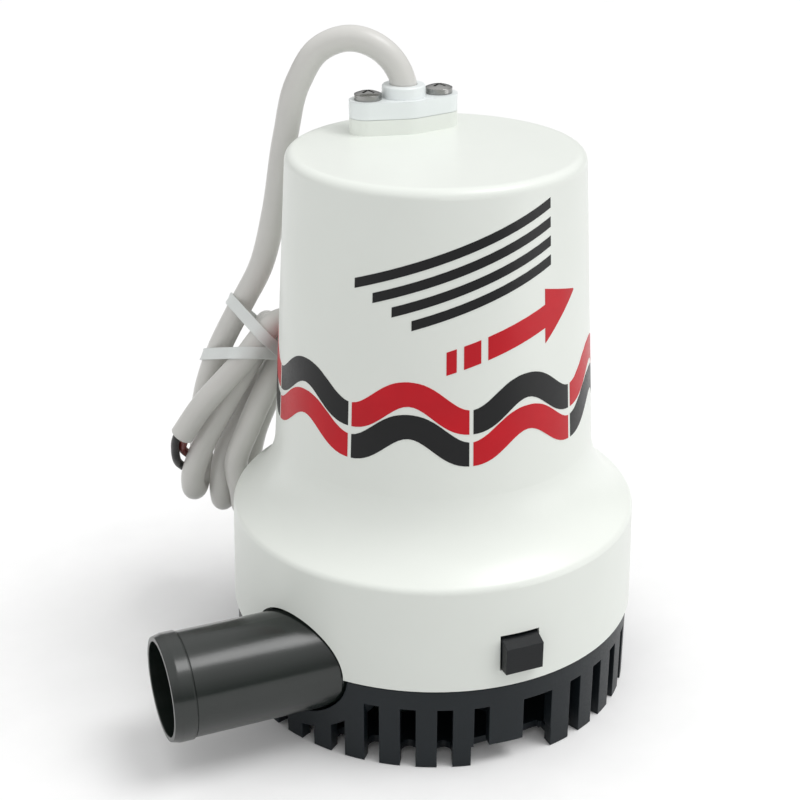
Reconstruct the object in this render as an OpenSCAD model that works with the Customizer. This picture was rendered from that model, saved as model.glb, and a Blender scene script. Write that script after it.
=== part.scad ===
// Submersible centrifugal bilge pump with a side hose outlet, a clip-on strainer base and a coiled cable.
// The pump's own axis is Z, and the origin is the centre of the plane that its feet stand on.
// The outlet points along -X, the strainer's latches face -Y and +Y, and the cable leaves at +Y of the axis.

/* [Housing] */
// Height of the housing's flat top above the feet
housing_h = 204; // [190:1:225]
// Outer radius of the housing at its top edge
crown_r = 52.2; // [50.5:0.1:53]
// Outer radius of the housing where the flare begins
waist_r = 58.4; // [58:0.1:60]
// Height where the flare begins
waist_z = 98; // [96:0.5:102]
// Radius of the hollow flare
flare_r = 32; // [31.5:0.5:33]
// Outer radius of the skirt at its bottom edge
skirt_r = 76; // [75.5:0.1:77]
// Wall thickness of the housing
wall = 3; // [2.6:0.1:3.2]

/* [Hose outlet] */
// Outer diameter of the outlet's tail, just under the 38 mm bore of its hose
outlet_d = 37.4; // [36:0.2:38]
// Outer diameter of the bead at the tail's end, just over the hose's bore
bead_d = 38.4; // [37.6:0.2:39]
// Distance from the pump axis to the outlet's open end
outlet_reach = 116; // [100:1:140]
// Height of the outlet's axis
outlet_z = 32.1; // [31.6:0.1:32.4]

/* [Strainer base] */
// Outer radius of the strainer
strainer_r = 75; // [74.6:0.1:75.2]
// Angle from one slot to the next
slot_step = 10; // [10, 12]
// Width of one slot
slot_w = 5.6; // [4:0.1:6.4]
// Height of the top of the slots
slot_top = 25; // [20:0.5:26]
// Diameter of the circle through the mounting holes
mount_pcd = 100; // [92:1:106]
// Diameter of a mounting hole
mount_hole_d = 5.2; // [4.2:0.1:6]

/* [Impeller] */
// Outer radius of the impeller
impeller_r = 30; // [27:0.5:30.5]
// Number of impeller vanes
vanes = 6; // [4:1:8]

/* [Cable] */
// Outer diameter of the power cable's jacket
cable_d = 9.3; // [8:0.1:9.4]

/* [Hidden] */
$fn = 96;
gap = 0.05;                          // clearance where two solids only touch
cut = 1;                             // how far a cutting shape runs past the face that it opens

// Housing: outer profile
skirt_bottom = 32.4;
crown_fillet = 3.5;
corner_fillet = 3;
corner_r = skirt_r - 1;
flare_slope = 32;                    // slope of the surface where the flare meets the skirt's corner
draft = atan((waist_r - crown_r) / (housing_h - 3 - waist_z));
flare_c = [waist_r + flare_r * cos(draft), waist_z + flare_r * sin(draft)];
slope_n = [sin(flare_slope), cos(flare_slope)];
flare_end = flare_c - flare_r * slope_n;
corner_c = [corner_r - corner_fillet,
    (flare_end * slope_n - corner_fillet - (corner_r - corner_fillet) * slope_n[0]) / slope_n[1]];
corner_tip = [corner_r, (flare_end * slope_n - corner_r * slope_n[0]) / slope_n[1]];
top_edge_r = waist_r - (housing_h - waist_z) * tan(draft);
crown_c = [top_edge_r + crown_fillet * tan(draft) - crown_fillet / cos(draft), housing_h - crown_fillet];

// Housing: inside
chamber_r = waist_r - wall - 0.2;
chamber_top = housing_h - wall - 0.4;
sleeve_r = 59.5;                     // bore that takes the seal plate
sleeve_bottom = 53;
shoulder_z = 62;                     // ledge that the seal plate stops against
ledge_r = 47.5;
sleeve_out = sleeve_r + 2.8;
shell_in = [skirt_r - wall, corner_r - wall];

// Outlet
outlet_r = outlet_d / 2;
outlet_bore_r = outlet_r - 1.9;
outlet_y = -31.5;
notch_r = outlet_r + 1;
bead_r = bead_d / 2;
bead_back = outlet_reach - 7.5;      // distance from the axis at which the bead starts
outlet_root = 56;                    // distance from the axis at which the tail's thinner root ends

// Fasteners
joint_angles = [-70, 50, 170];       // screws that hold the volute and the seal plate
joint_r = 53.4;
m4_hole = 2.2;
m4_core = 2;

// Cable gland on the housing's top
gland_y = 28.5;
gland_screw_x = 13.7;
gland_mid_r = 9.5;
gland_end_r = 6.5;
gland_joint_z = housing_h + 5.5;
cap_top_z = housing_h + 11.7;
collar_top_z = housing_h + 16;
cable_r = cable_d / 2;

// Motor
can_r = 33;
can_in = 31;
can_bottom = 66;
can_top = 158;
shaft_r = 4;
bush_r = 8;
fit = 0.03;                          // radial clearance of the shaft in its bushes and seal
bell_t = 3.5;
core_r = 26;
core_z = [78, 130];
slots = 12;
slot_ring_r = 20.5;
brush_z = 147;
brush_size = [12.9, 6, 8];
commutator_r = 11;

// Pump chamber
volute_bottom = 12;
volute_floor = 15;
volute_top = 51.95;
flange_z = 48.6;
spiral_r = 35.1;                     // smallest of the spiral's four radii
spiral_step = 3.6;                   // growth of the radius with each quarter turn
volute_wall = 2.8;
eye_r = 17;
plate_z = [52, 56];

// Strainer
floor_z = [3, 5.7];
ring_top = 31.4;
strainer_wall = 4.5;
lip_top = 36;
slot_floor_r = 70;                   // radius where a slot's notch in the floor ends
blocked_r = outlet_r + 6;            // slots stop this far from the outlet's axis
window_a = 6.6;                      // angle from a latch to the middle of the wide window beside it
recess_z = 7.8;                      // height of the finger recess under a latch

// Latches
latch_w = 14;
button_out = 79.5;
button_z = [39.4, 51.4];
pivot_r = 67.3;
pivot_z = 22;
pin_r = 1.6;
finger_t = 2.5;
window_z = [38.9, 52.6];

// Cable hank: it hangs in a frame turned about the pump axis, with X to the side and Y to the back
hank_turn = -24;
wire_r = 1.45;
tie_in = cable_r + 0.3;
tie_t = 1.1;
tie_w = 4.6;
tie_lean = 24;
sides = 12;

// ---- Shapes shared by several parts ----

module ring(outer, inner, height) {
    difference() {
        cylinder(r = outer, h = height);
        translate([0, 0, -cut]) cylinder(r = inner, h = height + 2 * cut);
    }
}

module at_joint_screws() {
    for (a = joint_angles) rotate(a) translate([joint_r, 0, 0]) children();
}

module at_gland_screws() {
    for (side = [-1, 1]) translate([side * gland_screw_x, gland_y, 0]) children();
}

// A lozenge with a large circle in the middle and a smaller one at each end. The straight sides lie a hair
// inside the tangent lines, so that each crosses its circles instead of touching them.
module gland_outline() {
    hair = 0.02;
    end_x = gland_screw_x + 0.3;
    n = [(gland_mid_r - gland_end_r) / end_x, sqrt(1 - pow((gland_mid_r - gland_end_r) / end_x, 2))];
    mid = (gland_mid_r - hair) * n;
    end = [end_x, 0] + (gland_end_r - hair) * n;
    translate([0, gland_y]) {
        circle(r = gland_mid_r);
        for (side = [-1, 1]) translate([side * end_x, 0]) circle(r = gland_end_r);
        polygon([[mid[0], mid[1]], [end[0], end[1]], [end[0], -end[1]], [mid[0], -mid[1]],
            [-mid[0], -mid[1]], [-end[0], -end[1]], [-end[0], end[1]], [-mid[0], mid[1]]]);
    }
}

// A quarter of a disc, in the quadrant that starts at angle a
module quarter(centre, radius, a) {
    translate(centre) intersection() {
        circle(r = radius);
        rotate(a) square(radius + cut);
    }
}

// The pump chamber's outline: four quarter circles whose radius grows with the flow
module spiral(grow = 0) {
    h = spiral_step / 2;
    quarter([-h, h], spiral_r + grow, 180);
    quarter([h, h], spiral_r + spiral_step + grow, 90);
    quarter([h, -h], spiral_r + 2 * spiral_step + grow, 0);
    quarter([-h, -h], spiral_r + 3 * spiral_step + grow, 270);
    square(spiral_step, center = true);
}

// A closed solid of round section along a list of points
function unit(v) = v / norm(v);
function tangent(p, i) = unit(p[min(i + 1, len(p) - 1)] - p[max(i - 1, 0)]);
function turned(side, t) = unit(side - (side * t) * t);
function frames(p, start) =
    [for (i = 0, s = turned(start, tangent(p, 0)); i < len(p);
        i = i + 1, s = turned(s, tangent(p, min(i, len(p) - 1)))) s];
function section(c, s, t, r) =
    [for (k = [0 : sides - 1]) c + r * (cos(360 * k / sides) * s + sin(360 * k / sides) * cross(t, s))];

module sweep(p, r, start) {
    f = frames(p, start);
    last = len(p) - 1;
    points = [for (i = [0 : last]) each section(p[i], f[i], tangent(p, i), r)];
    quads = [for (i = [0 : last - 1]) for (k = [0 : sides - 1])
        let (a = i * sides + k, b = i * sides + (k + 1) % sides) each
        [[a, a + sides, b], [b, a + sides, b + sides]]];
    ends = [[for (k = [0 : sides - 1]) k], [for (k = [sides - 1 : -1 : 0]) last * sides + k]];
    polyhedron(points, concat(quads, ends));
}

// A smooth curve through its points, with a number of steps between each pair
function heading(p, i) = let (h = norm(p[i] - p[max(i - 1, 0)]), k = norm(p[min(i + 1, len(p) - 1)] - p[i]))
    i == 0 ? unit(p[1] - p[0])
    : i == len(p) - 1 ? unit(p[i] - p[i - 1])
    : unit(k / h * (p[i] - p[i - 1]) + h / k * (p[i + 1] - p[i]));
function between(p, i, t) = let (h = norm(p[i + 1] - p[i]))
    (2 * t * t * t - 3 * t * t + 1) * p[i] + h * (t * t * t - 2 * t * t + t) * heading(p, i)
    + (3 * t * t - 2 * t * t * t) * p[i + 1] + h * (t * t * t - t * t) * heading(p, i + 1);
function curve(p, steps) = [for (i = [0 : len(p) - 2]) for (j = [0 : steps - (i == len(p) - 2 ? 0 : 1)])
    between(p, i, j / steps)];

// The sliver between a sharp corner and the arc that rounds it, where n1 and n2 are the two sides' normals
module rounding(centre, radius, n1, corner, n2) {
    difference() {
        polygon([centre, centre + radius * n1, corner + (corner - centre) * 0.2, centre + radius * n2]);
        translate(centre) circle(r = radius);
    }
}

// ---- Housing and cable gland ----

module housing_outline() {
    difference() {
        polygon([[0, skirt_bottom], [skirt_r, skirt_bottom], [corner_r, corner_c[1]], corner_tip, flare_end,
            [waist_r, waist_z], [top_edge_r, housing_h], [0, housing_h]]);
        translate(flare_c) circle(r = flare_r);
        rounding(corner_c, corner_fillet, [1, 0], corner_tip, slope_n);
        rounding(crown_c, crown_fillet, [cos(draft), sin(draft)], [top_edge_r, housing_h], [0, 1]);
    }
}

module housing_hollow() {
    polygon([[0, shoulder_z - cut], [ledge_r, shoulder_z - cut], [ledge_r, shoulder_z + 3],
        [chamber_r - 0.7, shoulder_z + 3], [chamber_r, waist_z], [crown_r - wall, chamber_top],
        [0, chamber_top]]);
    square([sleeve_r, shoulder_z]);
    square([shell_in[0], sleeve_bottom]);
    difference() {
        polygon([[sleeve_out, 0], [shell_in[0], 0], [shell_in[1], corner_c[1]], [shell_in[1], housing_h / 2],
            [sleeve_out, housing_h / 2]]);
        translate(flare_c) circle(r = flare_r + wall);
    }
}

// Ribs in the motor chamber that centre the motor and stop it from rising
module motor_ribs() {
    for (a = [0 : 60 : 300])
        rotate(a) rotate([90, 0, 0]) linear_extrude(2.4, center = true)
            polygon([[can_r + 0.3, 80], [waist_r - 1.5, 80], [waist_r - 1.5, waist_z],
                [crown_r - 1.5, chamber_top + 1], [28, chamber_top + 1], [28, can_top + 6.8],
                [can_r + 0.3, can_top + 6.8]]);
}

module skirt_ribs() {
    for (a = [22.5, 67.5, 112.5, 157.5, 247.5, 292.5, 337.5])
        rotate(a) translate([sleeve_out - 1, -1.2, lip_top + gap])
            cube([shell_in[0] - sleeve_out + 1.5, 2.4, 69 - lip_top]);
}

// Clearance round the outlet, open downwards in the skirt and upwards in the strainer
module outlet_notch(up) {
    translate([-90, outlet_y, outlet_z]) rotate([0, 90, 0]) cylinder(r = notch_r, h = 50);
    translate([-90, outlet_y - notch_r, up ? outlet_z : -cut]) cube([50, 2 * notch_r, outlet_z + cut]);
}

module housing() {
    color("white") difference() {
        union() {
            rotate_extrude() difference() {
                housing_outline();
                housing_hollow();
            }
            motor_ribs();
            skirt_ribs();
            at_joint_screws() translate([0, 0, shoulder_z + 1]) cylinder(r = 4.4, h = 17);
            translate([0, 0, housing_h - cut])
                linear_extrude(gland_joint_z - housing_h + cut) gland_outline();
        }
        outlet_notch(false);
        for (side = [-1, 1])
            translate([-latch_w / 2 - 0.4, side > 0 ? 70 : -82, window_z[0]])
                cube([latch_w + 0.8, 12, window_z[1] - window_z[0]]);
        at_joint_screws() translate([0, 0, shoulder_z - cut]) cylinder(r = m4_core, h = 15);
        translate([0, gland_y, chamber_top - cut]) cylinder(r = cable_r + 0.4, h = 20);
        translate([0, gland_y, housing_h]) cylinder(r = 7, h = 20);
        at_gland_screws() translate([0, 0, housing_h - 1]) cylinder(r = 2.45, h = 20);
    }
}

module cable_cap() {
    color("whitesmoke") difference() {
        union() {
            translate([0, 0, gland_joint_z + 0.1])
                linear_extrude(cap_top_z - gland_joint_z - 0.1) gland_outline();
            translate([0, gland_y, 0]) rotate_extrude()
                polygon([[0, cap_top_z - 1], [7.9, cap_top_z - 1], [7.8, collar_top_z - 0.5],
                    [7.3, collar_top_z], [0, collar_top_z]]);
        }
        translate([0, gland_y, gland_joint_z]) cylinder(r = cable_r + 0.25, h = 20);
        at_gland_screws() translate([0, 0, gland_joint_z]) cylinder(r = 2.7, h = 20);
    }
}

module cap_screws() {
    head_z = cap_top_z + gap;
    color("silver") at_gland_screws() difference() {
        union() {
            translate([0, 0, housing_h - 0.5]) cylinder(r = 2.4, h = head_z - housing_h + cut);
            translate([0, 0, head_z]) intersection() {
                cylinder(r = 4.9, h = 3.1);
                translate([0, 0, -8]) sphere(r = 11.1);
            }
        }
        for (a = [30, 120])
            rotate(a) translate([-2.9, -0.5, head_z + 1.3]) cube([5.8, 1, 3]);
    }
}

module cable_grommet() {
    color("dimgray") translate([0, gland_y, housing_h + gap])
        ring(6.95, cable_r + gap, gland_joint_z - housing_h - 2 * gap);
}

// ---- Cable ----
// The hank's points are [side, depth, height] in the hank's own frame.

module in_hank() {
    rotate(hank_turn) children();
}

// Up out of the gland, over, and down at the back of the hank
function arch() = let (g = gland_y * [sin(hank_turn), cos(hank_turn)]) [
    [g[0], g[1], chamber_top - 6], [g[0], g[1], housing_h + 4], [g[0], g[1], housing_h + 10],
    [g[0], g[1], housing_h + 16],
    [-14.2, 26, 226.4], [-20.6, 26.5, 232.8], [-30.3, 27.5, 235.7], [-41, 28.4, 232], [-49.3, 29.5, 219.9],
    [-54.7, 31.6, 199.7], [-60.7, 35, 167.5], [-66, 36.5, 148], [-75, 38.3, 130.4], [-85.4, 41, 109.1],
    [-91.4, 43.8, 91], [-94.2, 45.8, 73]];

// Half a turn about a centre, from one side to the other by way of the end
function turn(centre, side, end) = [for (t = [0 : 45 : 180]) centre + cos(t) * side + sin(t) * end];

// Three loops: each goes round the bottom, up the front, over the top and down the back
function loops() = concat(
    turn([-95.4, 38.2, 60.3], [0.6, 8.1, 0], [-0.6, 0, -8.1]),
    [[-92, 29.9, 72.5], [-80.3, 30.8, 94.6], [-72, 32.2, 109]],
    turn([-68.6, 42.4, 114.5], [0.2, -8.8, 1.5], [3.2, 0, 7.6]),
    [[-75.2, 52.8, 97], [-83.4, 53.4, 74]],
    turn([-86.2, 45.2, 51.9], [-0.3, 8, 0], [0.1, 0, -8.1]),
    [[-84.2, 37.6, 65], [-77.2, 38.8, 80.5], [-69, 41, 97]],
    turn([-59.2, 52, 105.3], [-0.4, -8.6, 1.8], [3.4, 0, 7.6]),
    [[-67, 59.4, 84], [-74, 58, 66]],
    turn([-76.7, 43, 53.2], [0.3, 11.8, 0], [0, 0, -10.5]),
    [[-78.2, 29.4, 67], [-72, 29, 84.4], [-64.6, 31, 101]],
    turn([-60.6, 29.8, 121.3], [4.4, 6.2, -3], [4.2, 0.6, 6.8]));

// The free end, which comes down in front of the loops
function free_end() = [[-72, 22, 115.4], [-80.1, 22, 106], [-89, 22.6, 95.6], [-98, 24, 82]];

module power_cable() {
    color("lightgray") in_hank() sweep(curve(concat(arch(), loops(), free_end()), 4), cable_r, [0, 1, 0]);
}

module wire(p) {
    in_hank() sweep(curve(p, 5), wire_r, [0, 1, 0]);
}

module black_wire() {
    color("black") wire([[-99.7, 23.4, 82], [-101, 24.7, 78.6], [-101.7, 26.8, 74.5], [-102, 29, 70],
        [-101.8, 32, 66], [-99.6, 36.6, 61]]);
}

module brown_wire() {
    color("brown") wire([[-97.3, 24.7, 80.5], [-98.3, 27, 77.2], [-99.4, 30, 73.6], [-98.9, 34, 69.6],
        [-96.9, 38, 66]]);
}

// A flat band pulled round the strands. Its plane leans back by tie_lean, and turns by an angle within that
// slope. The strands' centres are given in the band's own plane.
module tie_band(at, angle, centres) {
    translate(at) rotate([-tie_lean, 0, 0]) rotate([0, angle, 0])
        linear_extrude(tie_w, center = true) difference() {
            hull() for (c = centres) translate(c) circle(r = tie_in + tie_t, $fn = 32);
            hull() for (c = centres) translate(c) circle(r = tie_in, $fn = 32);
        }
}

// One level band, and one that leans towards the housing and meets the first at its right-hand end
module cable_ties() {
    color("white") in_hank() {
        tie_band([-73.5, 20, 118.5], 0, [[-14.2, 23], [-14.2, 26.3], [-1.8, 4.6], [7, 1.1], [16.4, 15.7],
            [16.9, 27.1], [16.3, 40.5], [12, 46.3], [-0.9, 37.8]]);
        tie_band([-68.3, 24, 128.2], 45, [[-11.2, 10.3], [-9, 14.9], [4.7, 1.1], [14.8, 17], [14.2, 46.7],
            [2.5, 33.1]]);
    }
}

// ---- Motor ----

module motor_can() {
    color("silver") rotate_extrude() {
        polygon([[shaft_r + 1, can_bottom - 8], [bush_r + 2.5, can_bottom - 8], [bush_r + 2.5, can_bottom],
            [can_r - 2, can_bottom], [can_r, can_bottom + 2], [can_r, can_top], [can_in, can_top],
            [can_in, can_bottom + 3], [can_in - 1, can_bottom + 2], [bush_r + gap, can_bottom + 2],
            [bush_r + gap, can_bottom - 7], [shaft_r + 1, can_bottom - 7]]);
    }
}

module end_bell() {
    color("dimgray") difference() {
        union() {
            translate([0, 0, can_top + gap]) cylinder(r = can_r, h = bell_t);
            translate([0, 0, can_top - 4]) ring(can_in - 0.1, can_in - 3, 5);
            translate([0, 0, can_top]) cylinder(r = bush_r + 2.6, h = 11);
        }
        translate([0, 0, can_top - cut]) cylinder(r = bush_r + gap, h = 10.5 + cut);
        for (side = [-1, 1]) translate([side * 24, 0, can_top - cut]) cylinder(r = 1.9, h = bell_t + 2 * cut);
    }
}

module bush() {
    color("goldenrod") ring(bush_r, shaft_r + fit, 9);
}

module upper_bush() {
    translate([0, 0, can_top + 1]) bush();
}

module lower_bush() {
    translate([0, 0, can_bottom - 7 + gap]) bush();
}

module magnets() {
    color("darkslategray") for (side = [90, -90])
        rotate(side - 68) translate([0, 0, core_z[0] - 3])
            rotate_extrude(angle = 136)
                translate([core_r + 0.8, 0]) square([can_in - core_r - 0.9, core_z[1] - core_z[0] + 6]);
}

module motor_cushion() {
    color("black") translate([0, 0, can_top + bell_t + 0.1]) ring(can_r - 0.5, can_r - 5.5, 3);
}

module capacitor() {
    color("sienna") translate([0, -21, can_top + bell_t + gap]) union() {
        translate([-6, -2, 2]) cube([12, 4, 9]);
        for (x = [-3.5, 3.5]) translate([x, 0, 0.05]) cylinder(r = 0.5, h = 3);
    }
}

module motor_leads() {
    for (side = [-1, 1])
        color(side > 0 ? "brown" : "black")
            sweep(curve([[side * 1.9, gland_y, chamber_top - 6.6], [side * 4, gland_y - 1, chamber_top - 14],
                [side * 15, 20, can_top + 22], [side * 23, 6, can_top + 16], [side * 24, 0, can_top + 8],
                [side * 24, 0, can_top + 4], [side * 24, 0, can_top - 1]], 6), 1.6, [0, 1, 0]);
}

module shaft() {
    color("silver") {
        translate([0, 0, 27]) cylinder(r = shaft_r, h = can_top + 9 - 27);
        translate([0, 0, 17.5]) cylinder(r = 3, h = 10);
    }
}

module armature_core() {
    color("gray") translate([0, 0, core_z[0]]) linear_extrude(core_z[1] - core_z[0]) difference() {
        circle(r = core_r);
        circle(r = shaft_r + 0.01);
        for (k = [0 : slots - 1]) rotate(360 * k / slots) {
            translate([slot_ring_r, 0]) circle(r = 2.7);
            translate([slot_ring_r, -1]) square([10, 2]);
        }
    }
}

module windings() {
    end_r = 4.2;
    color("chocolate") {
        for (k = [0 : slots - 1]) rotate(360 * k / slots)
            translate([slot_ring_r, 0, core_z[0] - 4]) cylinder(r = 2.5, h = core_z[1] - core_z[0] + 8);
        for (z = [core_z[0] - end_r - 0.3, core_z[1] + end_r + 0.3])
            translate([0, 0, z]) rotate_extrude() translate([slot_ring_r - 2, 0]) circle(r = end_r);
    }
}

module commutator() {
    color("peru") translate([0, 0, brush_z - 6]) linear_extrude(12) difference() {
        circle(r = commutator_r);
        circle(r = shaft_r + 0.01);
        for (k = [0 : slots - 1]) rotate(360 * (k + 0.5) / slots)
            translate([commutator_r - 1.2, -0.3]) square([3, 0.6]);
    }
}

// ---- Brushes: each slides in a box and is pushed onto the commutator by a coil spring ----

module facing(side) {
    rotate(side > 0 ? 0 : 180) children();
}

module brush(side) {
    color("black") facing(side) difference() {
        translate([commutator_r - 1, -brush_size[1] / 2, brush_z - brush_size[2] / 2])
            cube([brush_size[0], brush_size[1], brush_size[2]]);
        translate([0, 0, brush_z - 10]) cylinder(r = commutator_r + 0.06, h = 20);
    }
}

module brush_left() {
    brush(-1);
}

module brush_right() {
    brush(1);
}

module brush_holders() {
    inner = [brush_size[1] + 0.3, brush_size[2] + 0.3];
    color("gold") for (side = [-1, 1]) facing(side) {
        difference() {
            translate([13, -inner[0] / 2 - 0.8, brush_z - inner[1] / 2 - 0.8])
                cube([16.2, inner[0] + 1.6, inner[1] + 1.6]);
            translate([12, -inner[0] / 2, brush_z - inner[1] / 2]) cube([16.4, inner[0], inner[1]]);
        }
        translate([16, -2, brush_z + inner[1] / 2 + 0.7])
            cube([5, 4, can_top - brush_z - inner[1] / 2 - 0.7]);
    }
}

module brush_spring(side) {
    coils = 4;
    first = commutator_r - 1 + brush_size[0] + 0.75;
    length = 28.4 - first - 0.75;
    path = [for (i = [0 : coils * 12])
        [first + length * i / (coils * 12), 2.1 * cos(30 * i), brush_z + 2.1 * sin(30 * i)]];
    color("silver") facing(side) sweep(path, 0.35, [0, 1, 0]);
}

module brush_spring_left() {
    brush_spring(-1);
}

module brush_spring_right() {
    brush_spring(1);
}

// ---- Pump end ----

module seal_plate() {
    color("dimgray") difference() {
        rotate_extrude() polygon([[shaft_r + 0.8, plate_z[0] + 5.2], [bush_r, plate_z[0] + 5.2],
            [bush_r, plate_z[0]], [sleeve_r - 0.2, plate_z[0]], [sleeve_r - 0.2, plate_z[0] + 5.3],
            [sleeve_r - 2.6, plate_z[0] + 5.3], [sleeve_r - 2.6, plate_z[0] + 8.7],
            [sleeve_r - 0.2, plate_z[0] + 8.7], [sleeve_r - 0.2, shoulder_z - 0.1], [49, shoulder_z - 0.1],
            [49, plate_z[1]], [14, plate_z[1]], [14, can_bottom - 0.1], [bush_r + 2.7, can_bottom - 0.1],
            [bush_r + 2.7, plate_z[0] + 5.8], [shaft_r + 0.8, plate_z[0] + 5.8]]);
        at_joint_screws() translate([0, 0, plate_z[0] - cut]) cylinder(r = m4_hole, h = 20);
    }
}

module o_ring() {
    color("black") translate([0, 0, plate_z[0] + 7]) rotate_extrude()
        translate([sleeve_r - 1.32, 0]) circle(r = 1.24);
}

module shaft_seal() {
    color("black") translate([0, 0, plate_z[0] + 0.2]) rotate_extrude()
        polygon([[shaft_r + fit, 0], [shaft_r + 1, 0], [shaft_r + 1.8, 2.6], [bush_r - 1.6, 2.6],
            [bush_r - 1.4, 0], [bush_r - gap, 0], [bush_r - gap, 4.9], [shaft_r + fit, 4.9]]);
}

module slinger() {
    color("black") translate([0, 0, 48.6]) rotate_extrude()
        polygon([[shaft_r + 0.01, 0], [6.5, 0], [10, 1.6], [10, 2.2], [6.5, 2.2], [shaft_r + 0.01, 2.2]]);
}

module outlet_channel(width, length) {
    translate([-length, outlet_y - width / 2]) square([length, width]);
}

module volute() {
    box_x = 42;
    color("#2f3434") difference() {
        union() {
            translate([0, 0, volute_bottom]) linear_extrude(volute_top - volute_bottom) {
                spiral(volute_wall);
                outlet_channel(outlet_d, box_x);
            }
            translate([0, 0, flange_z]) cylinder(r = sleeve_r - 0.2, h = volute_top - flange_z);
            // The tail's root, inside the skirt, is slightly thinner than the length a hose goes over
            translate([-box_x + cut, outlet_y, outlet_z]) rotate([0, -90, 0])
                cylinder(r = outlet_r - 0.3, h = outlet_root - box_x + 2 * cut);
            translate([-outlet_root, outlet_y, outlet_z]) rotate([0, -90, 0])
                cylinder(r = outlet_r, h = bead_back + 1 - outlet_root);
            translate([0, outlet_y, outlet_z]) rotate([0, -90, 0]) rotate_extrude()
                polygon([[0, bead_back], [bead_r, bead_back], [bead_r, outlet_reach - 3],
                    [outlet_r - 0.3, outlet_reach], [0, outlet_reach]]);
        }
        translate([0, 0, volute_floor]) linear_extrude(volute_top) {
            spiral();
        }
        translate([0, 0, volute_floor]) linear_extrude(flange_z - volute_floor)
            outlet_channel(2 * outlet_bore_r, box_x - volute_wall);
        translate([-outlet_reach - cut, outlet_y, outlet_z]) rotate([0, 90, 0])
            cylinder(r = outlet_bore_r, h = outlet_reach - box_x + 10);
        // A fine groove behind the bead
        translate([-bead_back, outlet_y, outlet_z]) rotate([0, 90, 0]) ring(outlet_r + cut, outlet_r - 0.3, 0.6);
        translate([0, 0, volute_bottom - cut]) cylinder(r = eye_r, h = 10);
        at_joint_screws() translate([0, 0, flange_z - cut]) cylinder(r = m4_hole, h = 20);
    }
}

module volute_screws() {
    color("silver") at_joint_screws() difference() {
        union() {
            translate([0, 0, flange_z - 3 - gap]) cylinder(r = 3.5, h = 3);
            translate([0, 0, flange_z - cut]) cylinder(r = m4_core - gap, h = 27);
        }
        for (a = [0, 90]) rotate(a) translate([-2, -0.4, flange_z - 4]) cube([4, 0.8, 2.4]);
    }
}

module impeller() {
    vane_r = 22;
    color("darkgreen") difference() {
        union() {
            translate([0, 0, 24]) cylinder(r = 8, h = 24.4);
            translate([0, 0, 43]) cylinder(r = impeller_r, h = 2.4);
            translate([0, 0, 16.6]) linear_extrude(27) intersection() {
                difference() {
                    circle(r = impeller_r - 0.3);
                    circle(r = 10);
                }
                for (k = [0 : vanes - 1]) rotate(360 * k / vanes) translate([12, vane_r - 5])
                    difference() {
                        circle(r = vane_r);
                        circle(r = vane_r - 2);
                        translate([-3 * vane_r - 12, -2 * vane_r]) square([3 * vane_r, 4 * vane_r]);
                        translate([-2 * vane_r, 0]) square(4 * vane_r);
                    }
            }
        }
        translate([0, 0, 27 - gap]) cylinder(r = shaft_r + 0.01, h = 30);
        translate([0, 0, 20]) cylinder(r = 3.05, h = 10);
    }
}

module impeller_washer() {
    color("silver") translate([0, 0, 22.9]) ring(6, 3.05, 1);
}

module impeller_nut() {
    color("silver") difference() {
        translate([0, 0, 18.4]) cylinder(r = 5.6, h = 4.4, $fn = 6);
        translate([0, 0, 17]) cylinder(r = 3.02, h = 8);
    }
}

// ---- Strainer base and its latches ----

// Slots in the wall, each running on into the floor as a round-ended notch
module slot(width) {
    translate([slot_floor_r, -width / 2]) square([20, width]);
    translate([slot_floor_r, 0]) circle(r = width / 2);
}

module wall_slots() {
    count = 180 / slot_step;
    difference() {
        linear_extrude(slot_top) for (half = [0, 180]) {
            for (k = [2 : count - 1]) rotate(half - 90 + k * slot_step) slot(slot_w);
        }
        translate([-100, outlet_y, outlet_z]) rotate([0, 90, 0]) cylinder(r = blocked_r, h = 60);
    }
    // Beside each latch: a wide window on one side, and a finger recess under it and the solid panel
    for (half = [0, 180]) {
        rotate(half - 90 + window_a) linear_extrude(slot_top)
            translate([slot_floor_r - 4, -6]) square([20, 12]);
        rotate(half - 90) linear_extrude(recess_z + cut)
            translate([slot_floor_r - 4, -16.7]) square([20, 31.4]);
    }
}

module latch_lugs() {
    for (side = [-1, 1]) translate([side * (latch_w / 2 + 3.4), 0, pivot_z]) rotate([0, 90, 0])
        difference() {
            translate([0, 0, -2.2]) linear_extrude(4.4) {
                translate([0, -pivot_r]) circle(r = 4);
                translate([-3, -strainer_r + 2]) square([6, strainer_r - pivot_r - 1]);
            }
            translate([0, -pivot_r, -5]) cylinder(r = pin_r + 0.06, h = 10);
        }
}

module strainer_base() {
    color("#3c4245") difference() {
        union() {
            translate([0, 0, floor_z[0]]) cylinder(r = strainer_r - 1, h = floor_z[1] - floor_z[0]);
            ring(strainer_r, strainer_r - strainer_wall, ring_top);
            translate([0, 0, ring_top - 2.4]) ring(72.3, 69, lip_top - ring_top + 2.4);
            for (a = [45 : 90 : 315]) rotate(a) translate([mount_pcd / 2, 0, 0])
                cylinder(r = 6.5, h = floor_z[1]);
            for (half = [0, 180]) rotate(half) latch_lugs();
        }
        translate([0, 0, -cut]) wall_slots();
        outlet_notch(true);
        for (a = [45 : 90 : 315]) rotate(a) translate([mount_pcd / 2, 0, -cut])
            cylinder(d = mount_hole_d, h = 20);
    }
}

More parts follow.
